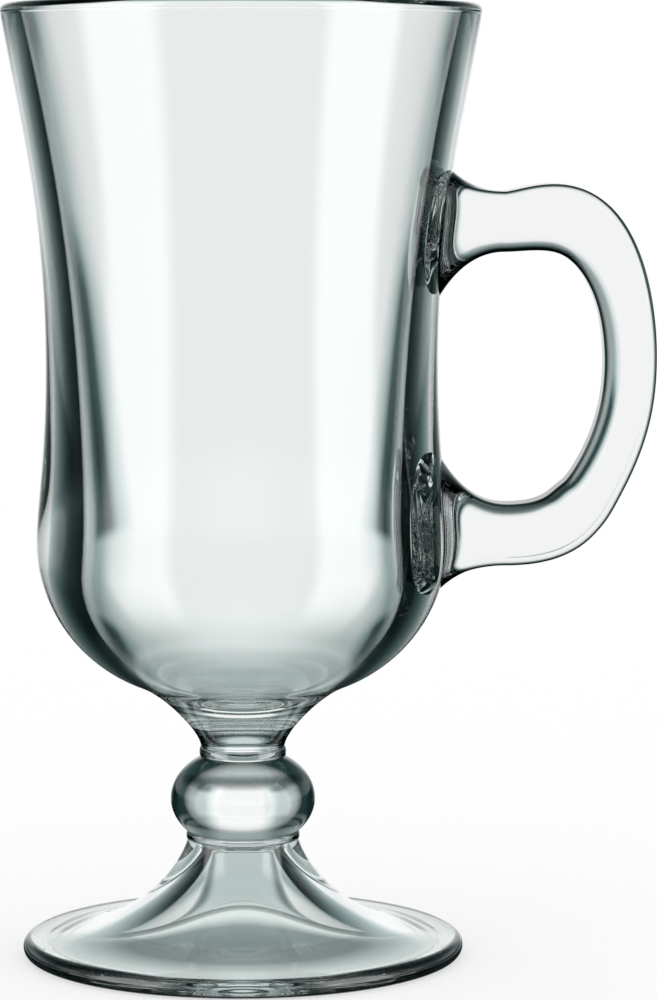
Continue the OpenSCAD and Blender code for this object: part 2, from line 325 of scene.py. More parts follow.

# Facings, from 0 for square on to 1, between which a glass goes from its clear colour to its painted edge
# shade
BOWL_SLANT, STEM_SLANT, BALL_SLANT = (0.02, 0.45), (0.22, 0.55), (0.16, 0.43)
FOOT_SLANT, HANDLE_SLANT = (0.04, 0.50), (0.04, 0.52)

# How much of the painted edge shade is seen at heights in millimetres: round the bottom of the bowl,
# on the ball from a little above its underside, and on the foot up to the top of its edge
BOWL_PAINTED_SHADE_SHARES = [(41, 0), (43.5, 1), (50, 1), (63, 0)]
BALL_PAINTED_SHADE_SHARES = [(KNOP_Z, 0), (KNOP_Z + 1.8, 1)]
FOOT_PAINTED_SHADE_SHARES = [(EDGE_T - 0.3, 1), (EDGE_T, 0)]

# Depth of a glass's waves, and the sizes of the fine and the broad ones, in millimetres
STEM_WAVES, BOWL_WAVES = (0.004, 4.0, 12.0), (0.010, 9.0, 22.0)
LOOP_WAVES, ROOT_WAVES = (0.010, 6.0, 15.0), (0.040, 2.5, 6.0)
FINE_SHARE = 0.3        # of the fine waves, on top of the broad ones


def wavy_normal(nodes, place, depth, fine_size, broad_size):
    """The faint waviness of a piece that was pressed and fire-polished."""
    fine = nodes.add("ShaderNodeTexNoise", {
        "Vector": place, "Scale": 1 / (fine_size * MM), "Detail": 1.0, "Roughness": 0.4})
    broad = nodes.add("ShaderNodeTexNoise", {
        "Vector": place, "Scale": 1 / (broad_size * MM), "Detail": 0.0})
    height = nodes.calc("MULTIPLY_ADD", fine.outputs["Fac"], FINE_SHARE, broad.outputs["Fac"])
    bump = nodes.add("ShaderNodeBump", {"Strength": 1.0, "Distance": depth * MM, "Height": height})
    return bump.outputs["Normal"]


def glass(name, waves, slant, edge=SLANT_TINT_AND_PAINTED_SHADE, clear=TINT, gloss=FULL_GLOSS, painted_shade_shares=()):
    """Clear glass with painted shade where it is seen at a slant: partly a deeper tint, mostly a painted
    dark edge.

    Its colour goes from `clear` to `edge` between the two facings of `slant`. The shares hold pairs
    of a height in millimetres and how much of this painted shade is seen there, from 0 to 1.
    """
    material = bpy.data.materials.new(name)
    nodes = Nodes(material)
    place = nodes.add("ShaderNodeTexCoord", {}).outputs["Object"]
    facing = nodes.add("ShaderNodeLayerWeight", {"Blend": 0.5}).outputs["Facing"]
    # The slanted colour is painted shade at the glass's edges, with a little of the deeper glass's tint
    colour = nodes.ramp(facing, [(slant[0], clear), (slant[1], edge)], "EASE")
    # The painted edge shade is shown only at the given heights
    if painted_shade_shares:
        top = painted_shade_shares[-1][0]
        height = nodes.add("ShaderNodeSeparateXYZ", {0: place}).outputs["Z"]
        painted_shade_band = nodes.ramp(
            nodes.calc("MULTIPLY", height, 1 / (top * MM)), [(up / top, share) for up, share in painted_shade_shares])
        blend = nodes.add("ShaderNodeMix", {"Factor": painted_shade_band, "A": (*clear, 1), "B": colour}, data_type="RGBA")
        colour = blend.outputs["Result"]
    shader = nodes.add("ShaderNodeBsdfPrincipled", {
        "Base Color": colour, "Roughness": 0.0, "IOR": IOR, "Specular Tint": (*gloss, 1),
        "Transmission Weight": 1.0, "Normal": wavy_normal(nodes, place, *waves)})
    nodes.surface(shader.outputs["BSDF"])
    return material


def welded_seam():
    """Where two gathers were welded nothing is seen: light goes straight on."""
    material = bpy.data.materials.new("welded_seam")
    nodes = Nodes(material)
    nodes.surface(nodes.add("ShaderNodeBsdfTransparent", {}).outputs["BSDF"])
    return material


bowl_glass = glass("bowl_glass", BOWL_WAVES, BOWL_SLANT, edge=BOWL_SLANT_TINT_AND_PAINTED_SHADE, painted_shade_shares=BOWL_PAINTED_SHADE_SHARES)
stem_glass = glass("stem_glass", STEM_WAVES, STEM_SLANT)
ball_glass = glass("ball_glass", STEM_WAVES, BALL_SLANT, painted_shade_shares=BALL_PAINTED_SHADE_SHARES)
foot_glass = glass("foot_glass", STEM_WAVES, FOOT_SLANT, painted_shade_shares=FOOT_PAINTED_SHADE_SHARES)
loop_glass = glass("loop_glass", LOOP_WAVES, HANDLE_SLANT, clear=HANDLE_TINT, gloss=DIM_GLOSS)
root_glass = glass("root_glass", ROOT_WAVES, HANDLE_SLANT, clear=HANDLE_TINT, gloss=DIM_GLOSS)
seam = welded_seam()


# The bowl's outside, from its seam up to the widest ring of the rim

base = np.array([BASE_R, BOWL_Z])
turn = np.array([TURN_R, BOWL_Z + TURN_UP])
belly = np.array([BELLY_R, BOWL_Z + BELLY_UP])
waist = np.array([WAIST_R, BOWL_Z + WAIST_UP])
rim = np.array([RIM_R, BOWL_Z + BOWL_H - LIP_H])
LEGS = [
    (base, base + lean(BASE_PULL, BASE_LEAN), turn - lean(TURN_PULL, TURN_LEAN), turn),
    (turn, turn + lean(TURN_UP_PULL, TURN_LEAN), belly - [0, BELLY_LOW_PULL], belly),
    (belly, belly + [0, BELLY_HIGH_PULL], waist - [0, WAIST_LOW_PULL], waist),
    (waist, waist + [0, WAIST_HIGH_PULL], rim - lean(RIM_PULL, RIM_LEAN), rim),
]
LEG_ROWS = [BASE_ROWS, TURN_ROWS, BELLY_ROWS, WAIST_ROWS]
outer_wall = chain(*[bezier(*leg, rows) for leg, rows in zip(LEGS, LEG_ROWS)])
fine_wall = chain(*[bezier(*leg, FINE_ROWS) for leg in LEGS])
fine_way = np.gradient(fine_wall[:, 0], fine_wall[:, 1])


def wall_r(z):
    """The radius of the bowl's outside at a height."""
    return np.interp(z, fine_wall[:, 1], fine_wall[:, 0])


def wall_normal(y, z):
    """The outside's normal at a point of the +X half, from its distance across and its height."""
    radius = wall_r(z)
    slope = np.interp(z, fine_wall[:, 1], fine_way)
    normal = np.column_stack([np.sqrt(radius * radius - y * y) / radius, y / radius, -slope])
    return normal / np.linalg.norm(normal, axis=1)[:, None]


# The handle's section, and the prints of its roots on the bowl's wall

CORNERS = [(1, 1), (1, -1), (-1, -1), (-1, 1)]      # (across, out)


def corner_point(corner, angle, thickness):
    """A point on a rounded corner of the handle's section, with its normal."""
    across, out = CORNERS[corner % len(CORNERS)]
    r = OUTER_ROUND if out > 0 else INNER_ROUND
    normal = np.array([math.sin(angle), math.cos(angle)])
    return np.array([across * (HANDLE_W / 2 - r), out * (thickness / 2 - r)]) + r * normal, normal


def section(thickness):
    """The handle's section as rows of (across, out), with its normals: corners rounded, flats divided."""
    points, normals = [], []
    for corner in range(len(CORNERS)):
        for i in range(CORNER_STEPS + 1):
            angle = math.radians(90 * (corner + i / CORNER_STEPS))
            point, normal = corner_point(corner, angle, thickness)
            points.append(point)
            normals.append(normal)
        # The flat from this corner to the next, without its ends
        start = points[-1]
        end, _ = corner_point(corner + 1, angle, thickness)
        steps = SIDE_STEPS if corner % 2 == 0 else BROAD_STEPS
        for i in range(1, steps):
            points.append(start + (end - start) * i / steps)
            normals.append(normal)
    return np.array(points), np.array(normals)


class Root:
    """Where a root starts at the loop, and its print on the wall.

    The side is 1 where the loop's outside faces up, else -1.
    """

    def __init__(self, z, side, flare_up, flare_down):
        self.z, self.side = z, side
        self.end_x = float(wall_r(z)) + ROOT_LEN
        self.start, _ = section(ARM_T)
        across = 2 * self.start[:, 0] / HANDLE_W
        up = 2 * side * self.start[:, 1] / ARM_T
        power = PRINT_SQUARENESS
        reach = (np.abs(across) ** power + np.abs(up) ** power) ** (-1 / power)
        self.print_y = across * reach * (HANDLE_W / 2 + ROOT_SIDE_FLARE)
        self.print_z = z + up * reach * (ARM_T / 2 + np.where(up > 0, flare_up, flare_down))
        self.print_x = np.sqrt(wall_r(self.print_z) ** 2 - self.print_y ** 2)


LOW_ARM_Z = BOWL_Z + LOW_ARM_UP
HIGH_ARM_Z = LOW_ARM_Z + ARM_SPREAD
upper_root = Root(HIGH_ARM_Z, 1, UPPER_FLARE_UP, UPPER_FLARE_DOWN)
lower_root = Root(LOW_ARM_Z, -1, LOWER_FLARE_UP, LOWER_FLARE_DOWN)
ROOTS = [lower_root, upper_root]


# The bowl, with a window in its wall for each root

WINDOW_HALF = 13        # half the width of a window, in columns
PRINT_GAP = 0.4         # from a print's edge to the nearest point of the wall round it
UNROLL_R = 32.0         # radius at which the wall is unrolled to a plane
SAME_POINT = 1e-6       # points of that plane that are nearer than this are one
OUTER_STRIP = 1         # the outer wall's number among the bowl's strips


def rows_round(low_z, high_z):
    """The outer wall's rows just outside a stretch of heights."""
    first = int(np.searchsorted(outer_wall[:, 1], low_z)) - 2
    last = int(np.searchsorted(outer_wall[:, 1], high_z)) + 1
    return first, last


def inside(loop, points):
    """Which points lie inside a closed loop in the plane."""
    a, b = loop, np.roll(loop, -1, axis=0)
    x, y = points[:, 0][:, None], points[:, 1][:, None]
    crosses = (a[:, 1] > y) != (b[:, 1] > y)
    with np.errstate(divide="ignore", invalid="ignore"):
        at = (b[:, 0] - a[:, 0]) * (y - a[:, 1]) / (b[:, 1] - a[:, 1]) + a[:, 0]
    return (crosses & (x < at)).sum(axis=1) % 2 == 1


def points_round(print_plane, wall_rings, first_row, last_row):
    """The unrolled wall's points that fill a hole, with their numbers where they are on its border."""
    column_angle = 2 * math.pi / SEGMENTS
    plane, known = [], []
    for row in range(first_row, last_row + 1):
        z = outer_wall[row, 1]
        for column in range(-WINDOW_HALF, WINDOW_HALF + 1):
            border = row in (first_row, last_row) or abs(column) == WINDOW_HALF
            across = column * column_angle * UNROLL_R
            gap = np.min(np.hypot(print_plane[:, 0] - across, print_plane[:, 1] - z))
            if border or gap > PRINT_GAP:
                plane.append((across, z))
                known.append(wall_rings[row][column % SEGMENTS] if border else None)
    return plane, known


def window(shell, wall_rings, first_row, last_row, root):
    """Fills a hole in the bowl's wall so that its edges follow a root's print exactly.

    What comes back is for the root's own face on the wall: points on the wall, the triangles
    under the root, the numbers of the print's points in order, and the wall's normals.
    """
    print_angle = np.arcsin(root.print_y / wall_r(root.print_z))
    print_plane = np.column_stack([print_angle * UNROLL_R, root.print_z])
    plane, known = points_round(print_plane, wall_rings, first_row, last_row)
    count, m = len(plane), len(print_plane)
    plane.extend(map(tuple, print_plane))
    known.extend([None] * m)
    edges = [(count + i, count + (i + 1) % m) for i in range(m)]
    points, _, faces, origin, _, _ = geometry.delaunay_2d_cdt(
        [Vector(p) for p in plane], edges, [], 0, SAME_POINT)

    spots = np.array([tuple(p) for p in points])
    y = np.sin(spots[:, 0] / UNROLL_R) * wall_r(spots[:, 1])
    solid = np.column_stack([np.sqrt(wall_r(spots[:, 1]) ** 2 - y * y), y, spots[:, 1]])
    normals = wall_normal(y, spots[:, 1])
    table = {}
    for i, sources in enumerate(origin):
        own = [known[s] for s in sources if known[s] is not None]
        if own:
            table[i] = own[0]
    extra = [i for i in range(len(points)) if i not in table]
    first = shell.add(solid[extra])
    table.update({i: first + offset for offset, i in enumerate(extra)})

    triangles = np.array(faces)
    under = inside(print_plane, spots[triangles].mean(axis=1))
    for face, hidden in zip(triangles, under):
        a, b, c = spots[face]
        if (b[0] - a[0]) * (c[1] - a[1]) - (b[1] - a[1]) * (c[0] - a[0]) < 0:
            face = face[::-1]
        shell.face([table[f] for f in face], [normals[f] for f in face], SEAM if hidden else GLASS)
    found = {source: i for i, sources in enumerate(origin) for source in sources}
    return solid, triangles[under], [found[count + j] for j in range(m)], normals


def build_bowl():
    """The waisted bowl: seam, outer wall, lip, inner wall and rounded floor. Its windows come back."""
    mouth = np.array([RIM_R - LIP_WALL, rim[1]])
    lip_mid = np.array([RIM_R - LIP_WALL / 2, rim[1] + LIP_H])
    lip_side = np.array([QUARTER * LIP_WALL / 2, 0])
    lip = chain(
        bezier(rim, rim + lean(QUARTER * LIP_H, RIM_LEAN), lip_mid + lip_side, lip_mid, LIP_ROWS),
        bezier(lip_mid, lip_mid - lip_side, mouth + [0, QUARTER * LIP_H], mouth, LIP_ROWS),
    )
    well_r = WAIST_R - WAIST_WALL
    well_wall_z = BOWL_Z + FLOOR_T + FLOOR_ROUND
    share = 1 - np.arange(INNER_ROWS + 1) / INNER_ROWS
    inner_wall = np.column_stack([
        well_r + (mouth[0] - well_r) * share ** FLARE_POWER,
        well_wall_z + share * (mouth[1] - well_wall_z)])
    dip = np.radians(90 * np.arange(WELL_ROWS + 1) / WELL_ROWS)
    well = np.column_stack([well_r * np.cos(dip), well_wall_z - FLOOR_ROUND * np.sin(dip)])
    well[-1, 0] = 0

    spans = [rows_round(root.print_z.min(), root.print_z.max()) for root in ROOTS]
    shell = Shell()
    rings = lathe(shell, [
        (straight((0, BOWL_Z), base, FACE_ROWS + 1), SEAM),
        (outer_wall, GLASS),
        (lip, GLASS),
        (inner_wall, GLASS),
        (well, GLASS),
    ], [(OUTER_STRIP, first, last, WINDOW_HALF) for first, last in spans])
    windows = [window(shell, rings[OUTER_STRIP], *span, root) for span, root in zip(spans, ROOTS)]
    shell.build("bowl_of_glass", "bowl", (bowl_glass, seam))
    return windows


lower_window, upper_window = build_bowl()


# The looped handle

SPLINE_DEGREE = 3
BEFORE_END = 1e-9       # keeps the last place of the spline inside its last span
GRIP_X = WAIST_R + GRIP_OUT

# How the loop's control points lie inside the grip, and over and under the arms
HIGH_ARM_RUN, LOW_ARM_RUN = 2.5, 6.8
CREST_IN, SHOULDER_IN, SHOULDER_DROP, GRIP_RISE = 9.7, 1.1, 8.8, 19.4
BEND_IN, BEND_RISE, ELBOW_IN, ELBOW_RISE = 6.7, 6.3, 8.6, 4.3

# Control points of the loop: distance from the axis, height and thickness
LOOP = np.array([
    (upper_root.end_x, HIGH_ARM_Z, ARM_T),
    (upper_root.end_x + HIGH_ARM_RUN, HIGH_ARM_Z, ARM_T),
    (GRIP_X - CREST_IN, HIGH_ARM_Z + CREST_RISE, CREST_T),
    (GRIP_X - SHOULDER_IN, HIGH_ARM_Z - SHOULDER_DROP, GRIP_T),
    (GRIP_X, LOW_ARM_Z + GRIP_RISE, GRIP_T),
    (GRIP_X - BEND_IN, LOW_ARM_Z + BEND_RISE, GRIP_T),
    (GRIP_X - ELBOW_IN, LOW_ARM_Z + ELBOW_RISE, ELBOW_T),
    (lower_root.end_x + LOW_ARM_RUN, LOW_ARM_Z, ARM_T),
    (lower_root.end_x, LOW_ARM_Z, ARM_T),
])


def spline(control, u):
    """A clamped cubic spline through its outer points, with u from 0 to 1."""
    n, degree = len(control), SPLINE_DEGREE
    knots = np.concatenate([[0] * degree, np.linspace(0, 1, n - degree + 1), [1] * degree])
    u = np.clip(u, 0, 1 - BEFORE_END)
    weights = [((knots[i] <= u) & (u < knots[i + 1])).astype(float) for i in range(n + degree)]
    for k in range(1, degree + 1):
        for i in range(n + degree - k):
            weight = np.zeros_like(u)
            if knots[i + k] > knots[i]:
                weight += (u - knots[i]) / (knots[i + k] - knots[i]) * weights[i]
            if knots[i + k + 1] > knots[i + 1]:
                weight += (knots[i + k + 1] - u) / (knots[i + k + 1] - knots[i + 1]) * weights[i + 1]
            weights[i] = weight
    return sum(weights[i][:, None] * control[i] for i in range(n))


def build_handle():
    """The section swept along the loop, thicker at crest and elbow, with a welded face at each end."""
    u = np.linspace(0, 1, LOOP_RINGS)
    path = spline(LOOP, u)
    way = np.gradient(path[:, :2], u, axis=0, edge_order=2)
    way /= np.linalg.norm(way, axis=1)[:, None]
    way[0], way[-1] = (1, 0), (-1, 0)
    sweep, normals = [], []
    for (x, z, thickness), (way_x, way_z) in zip(path, way):
        points, flats = section(thickness)
        sweep.append(np.column_stack([x - way_z * points[:, 1], points[:, 0], z + way_x * points[:, 1]]))
        normals.append(np.column_stack([-way_z * flats[:, 1], flats[:, 0], way_x * flats[:, 1]]))
    sweep, normals = np.array(sweep), np.array(normals)
    # Where the loop gets thicker its sides lean, and so do their normals
    along = np.gradient(sweep, axis=0, edge_order=2)
    along /= np.linalg.norm(along, axis=2)[:, :, None]
    normals -= (normals * along).sum(axis=2)[:, :, None] * along
    normals /= np.linalg.norm(normals, axis=2)[:, :, None]
    shell = Shell()
    rings = grid(shell, sweep, normals, clockwise=True)
    cap(shell, rings[0], -1)
    cap(shell, rings[-1], -1)
    shell.build("looped_handle", "handle", (loop_glass, seam))


build_handle()


# The handle's roots

FILLET_TURN = math.radians(45)      # how far round a fillet the roots' flare goes


def build_root(name, cad_node, root, root_window):
    """The flared pad between the handle's end and the wall, with its print as its face on the wall."""
    solid, under, ring, wall_normals = root_window
    start = np.column_stack([
        np.full(len(root.start), root.end_x), root.start[:, 0], root.z + root.side * root.start[:, 1]])
    last = np.column_stack([root.print_x, root.print_y, root.print_z])
    rows = []
    for i in range(ROOT_ROWS + 1):
        angle = FILLET_TURN * i / ROOT_ROWS
        reach = math.sin(angle) / math.sin(FILLET_TURN)
        spread = (1 - math.cos(angle)) / (1 - math.cos(FILLET_TURN))
        rows.append(start + (last - start) * np.array([reach, spread ** SIDE_LATENESS, spread]))
    rows[-1] = solid[ring]
    rows = np.array(rows)
    across = np.roll(rows, -1, axis=1) - np.roll(rows, 1, axis=1)
    down = np.gradient(rows, axis=0, edge_order=2)
    normals = np.cross(across, down)
    normals /= np.linalg.norm(normals, axis=2)[:, :, None]
    if (normals * (rows - rows.mean(axis=1, keepdims=True))).sum() < 0:
        normals = -normals

    shell = Shell()
    number = grid(shell, rows, normals, clockwise=root.side < 0)
    cap(shell, number[0], 1)
    table = dict(zip(ring, number[-1]))
    extra = sorted({int(c) for face in under for c in face} - set(table))
    first = shell.add(solid[extra])
    table.update({c: first + i for i, c in enumerate(extra)})
    for face in under:
        a, b, c = solid[face]
        if np.cross(b - a, c - a)[0] > 0:
            face = face[::-1]
        shell.face([table[int(c)] for c in face], [-wall_normals[int(c)] for c in face], SEAM)
    shell.build(name, cad_node, (root_glass, seam))


build_root("lower_root_pad", "lower_handle_root", lower_root, lower_window)
build_root("upper_root_pad", "upper_handle_root", upper_root, upper_window)


# The stem

def build_neck():
    """The waist of solid glass under the bowl."""
    low = np.array([NECK_R, NECK_Z])
    shell = Shell()
    lathe(shell, [
        (straight((0, NECK_Z), low, FACE_ROWS), SEAM),
        (bezier(low, low + [0, NECK_PULL], base - lean(NECK_PULL, BASE_LEAN), base, NECK_ROWS), GLASS),
        (straight(base, (0, BOWL_Z), FACE_ROWS), SEAM),
    ])
    shell.build("neck_under_bowl", "stem_neck", (stem_glass, seam))


def build_ring(name, cad_node, z, radius, height):
    """A thin disc with a rounded edge that stands out a little. Both its faces are welded."""
    angle = np.radians(180 * np.arange(BEAD_ROWS + 1) / BEAD_ROWS)
    bead = np.column_stack([radius + RING_BEAD * np.sin(angle), z + height * (1 - np.cos(angle)) / 2])
    shell = Shell()
    lathe(shell, [
        (straight((0, z), (radius, z), FACE_ROWS), SEAM),
        (bead, GLASS),
        (straight((radius, z + height), (0, z + height), FACE_ROWS), SEAM),
    ])
    shell.build(name, cad_node, (stem_glass, seam))


def build_knop():
    """A ball that is wider than it is high, cut flat where the rings sit."""
    low_turn = -math.asin((KNOP_MID_Z - KNOP_Z) / KNOP_HALF_H)
    high_turn = math.asin((UPPER_RING_Z - KNOP_MID_Z) / KNOP_HALF_H)
    angle = np.linspace(low_turn, high_turn, KNOP_ROWS + 1)
    ball = np.column_stack([KNOP_R * np.cos(angle), KNOP_MID_Z + KNOP_HALF_H * np.sin(angle)])
    ball[0], ball[-1] = (FOOT_TOP_R, KNOP_Z), (NECK_R, UPPER_RING_Z)
    shell = Shell()
    lathe(shell, [
        (straight((0, KNOP_Z), ball[0], FACE_ROWS + 1), SEAM),
        (ball, GLASS),
        (straight(ball[-1], (0, UPPER_RING_Z), FACE_ROWS), SEAM),
    ])
    shell.build("ball_of_the_stem", "ball_knop", (ball_glass, seam))


build_neck()
build_ring("upper_ring_disc", "upper_stem_ring", UPPER_RING_Z, NECK_R, UPPER_RING_H)
build_ring("lower_ring_disc", "lower_stem_ring", FOOT_H, FOOT_TOP_R, LOWER_RING_H)
build_knop()


# The foot

def build_foot():
    """A hollow cone that runs out into a thin apron with a rounded edge and a flat ring under it."""
    top = np.array([FOOT_TOP_R, FOOT_H])
    edge = np.array([EDGE_R, EDGE_T])
    rest = np.array([REST_INNER_R, 0])
    roof = np.array([HOLLOW_TOP_R, FOOT_H - HOLLOW_ROOF_T - HOLLOW_ROUND])
    roof_mid = np.array([HOLLOW_TOP_R - HOLLOW_ROUND, FOOT_H - HOLLOW_ROOF_T])
    cone = bezier(edge, edge - [APRON_PULL, 0], top + lean(CONE_PULL, 180 - CONE_LEAN), top, CONE_ROWS)
    angle = np.radians(180 * np.arange(EDGE_ROWS + 1) / EDGE_ROWS - 90)
    round_edge = np.column_stack([EDGE_R + EDGE_T / 2 * np.cos(angle), EDGE_T / 2 * (1 + np.sin(angle))])
    hollow = bezier(
        roof, roof + lean(HOLLOW_PULL, 180 - CONE_LEAN),
        rest + [-HOLLOW_APRON_PULL, HOLLOW_APRON_RISE], rest, CONE_ROWS)
    crown = bezier(
        roof_mid, roof_mid + [QUARTER * HOLLOW_ROUND, 0],
        roof + lean(QUARTER * HOLLOW_ROUND, -CONE_LEAN), roof, CROWN_ROWS)
    shell = Shell()
    lathe(shell, [
        (chain(straight((0, roof_mid[1]), roof_mid, REST_ROWS), crown, hollow), GLASS),
        (straight(rest, (EDGE_R, 0), REST_ROWS), GLASS),
        (chain(round_edge, cone), GLASS),
        (straight(top, (0, FOOT_H), FACE_ROWS), SEAM),
    ])
    shell.build("hollow_foot", "foot", (foot_glass, seam))


build_foot()


# The table

TABLE_R = 0.7           # metres
TABLE_SIDES = 96
TABLE_DROP = 0.00005    # metres, so that table and foot don't share a plane
DECIMETRES = 10         # in a metre
FALLING_LIGHT = 0.5     # the part of the table's white that shows shadows

# Painted shade and light of the table as glass shows it, by distance from the mug's axis in decimetres:
# under the foot a painted shadow with a painted dark ring where it rests, then a painted falloff for light
# straight through and for light mirrored inside the glass
PAINTED_SHADOW_UNDER_FOOT = [(0.0, 0.28), (0.18, 0.34), (0.27, 0.86), (0.335, 0.86), (0.34, 0.04), (0.40, 0.04)]
PAINTED_TABLE_THROUGH_GLASS = PAINTED_SHADOW_UNDER_FOOT + [(0.46, 0.65), (0.68, 0.65), (0.85, 0.25), (1.0, 0.15)]
PAINTED_TABLE_MIRRORED = PAINTED_SHADOW_UNDER_FOOT + [(0.46, 1.0), (0.62, 1.0), (0.74, 0.1), (1.0, 0.04)]

# Distances in metres over which the table gives way to the studio below its height
TABLE_FADE = (0.085, 0.2)
OUTER_MIRROR_FADE = (0.040, 0.060)

# Red and blue of the table beside its green
TABLE_RED, TABLE_RED_POWER, TABLE_BLUE = 0.95, 1.12, 0.985


def painted_table_tone(brightness):
    """The painted table's green-grey, which gets greener as its painted shade gets darker."""
    return (TABLE_RED * brightness ** TABLE_RED_POWER, brightness, TABLE_BLUE * brightness)


def table_paint():
    """White to the camera, with the object's shadow; to glass it glows with painted shade and light by
    distance.
    """
    material = bpy.data.materials.new("white_table")
    nodes = Nodes(material)
    ray = nodes.add("ShaderNodeLightPath", {}).outputs
    place = nodes.add("ShaderNodeTexCoord", {}).outputs["Object"]
    distance = nodes.add("ShaderNodeVectorMath", {0: place}, operation="LENGTH").outputs["Value"]
    paper = nodes.add("ShaderNodeBsdfDiffuse", {"Color": (1, 1, 1, 1)}).outputs["BSDF"]
    white = nodes.mix_shaders(paper, nodes.emission((1, 1, 1, 1)), 1 - FALLING_LIGHT)
    reach = nodes.calc("MULTIPLY", distance, DECIMETRES)
    # Painted shade and light for glass: a painted shadow under the foot, a painted dark ring at its rest,
    # and painted falloff beyond
    plain, mirrored = [
        nodes.ramp(reach, [(spot, painted_table_tone(brightness)) for spot, brightness in stops])
        for stops in (PAINTED_TABLE_THROUGH_GLASS, PAINTED_TABLE_MIRRORED)]
    painted_table_light = nodes.add(
        "ShaderNodeMix", {"Factor": ray["Glossy Depth"], "A": plain, "B": mirrored}, data_type="RGBA")
    # What the mug's outer side mirrors past the foot is the studio, down to below the table's height
    outer = nodes.calc("LESS_THAN", ray["Transmission Depth"], FIRST_BOUNCE)
    bare = nodes.calc("MULTIPLY", nodes.rise(distance, *OUTER_MIRROR_FADE), outer)
    gone = nodes.calc("MAXIMUM", nodes.rise(distance, *TABLE_FADE), bare)
    see_through = nodes.add("ShaderNodeBsdfTransparent", {}).outputs["BSDF"]
    near = nodes.mix_shaders(nodes.emission(painted_table_light.outputs["Result"]), see_through, gone)
    by_glass = nodes.calc("MAXIMUM", ray["Is Transmission Ray"], ray["Is Glossy Ray"])
    nodes.surface(nodes.mix_shaders(white, near, by_glass))
    return material


def build_table():
    """A round table for the foot to stand on."""
    turns = 2 * math.pi * np.arange(TABLE_SIDES) / TABLE_SIDES
    mesh = bpy.data.meshes.new("white_table")
    mesh.from_pydata(
        [(TABLE_R * math.cos(t), TABLE_R * math.sin(t), -TABLE_DROP) for t in turns], [],
        [list(range(TABLE_SIDES))])
    mesh.materials.append(table_paint())
    floor = bpy.data.objects.new("white_table", mesh)
    bpy.context.scene.collection.objects.link(floor)


build_table()


# The studio. The stops are pairs of degrees, from 0 to 45, and brightness.

# Up and down from the middle of the walls
UP_DOWN = [
    (0, 1), (17, 1), (19, 0.62), (23, 0.38), (27, 0.26), (30, 0.15), (33, 0.09), (39, 0.035), (45, 0.018)]
# Sideways from the middle of the nearest of four walls, level with the mug and lower down
LEVEL_WALLS = [(0, 1), (12, 1), (17, 0.8), (22.5, 0.5), (28, 0.48), (36, 0.66), (45, 0.72)]
LOW_WALLS = [
    (0, 1), (12, 1), (16, 0.6), (19, 0.12), (22.5, 0.04), (26, 0.12), (31, 0.5), (38, 0.8), (45, 0.85)]
# All round from the middle of the wall behind the mug
BACK_WALL = [
    (0, 1), (14, 1), (18, 0.5), (23.4, 0.29), (28.5, 0.156), (33.8, 0.077), (38.4, 0.036), (42, 0.02),
    (45, 0.012)]
DOME_SPAN = 45          # degrees that the stops cover
WALL_MIDDLE = -5        # height of the walls' middle, in degrees
UPRIGHT_SHARE = 0.85    # what a degree up or down counts for, so that the walls reach higher

# Heights in degrees between which one thing gives way to the next
LOW_TO_LEVEL = (-8, -4)
BACK_WALL_FOOT = (-12.5, -9.5)
MIRRORED_RAISED = (0, 5)
CEILING = (45, 75)
BOX_BOTTOM, BOX_TOP = (-60, -30), (42, 58)

# Two softboxes in front: first and last bearing in degrees, left negative, then blur and brightness
SOFTBOXES = [(-82, -40, 6, 3.3), (44, 84, 5, 3.5)]

CEILING_LIGHT = 0.55
MIRRORED_CEILING_LIGHT = 0.7        # as it is mirrored inside the glass
NEVER_ZERO = 1e-8                   # keeps the way straight up from a division by zero

# Dark tones of the studio are greener
TONES = [(0, (0.5, 1, 0.97)), (0.25, (0.75, 1, 0.99)), (1, (1, 1, 1))]


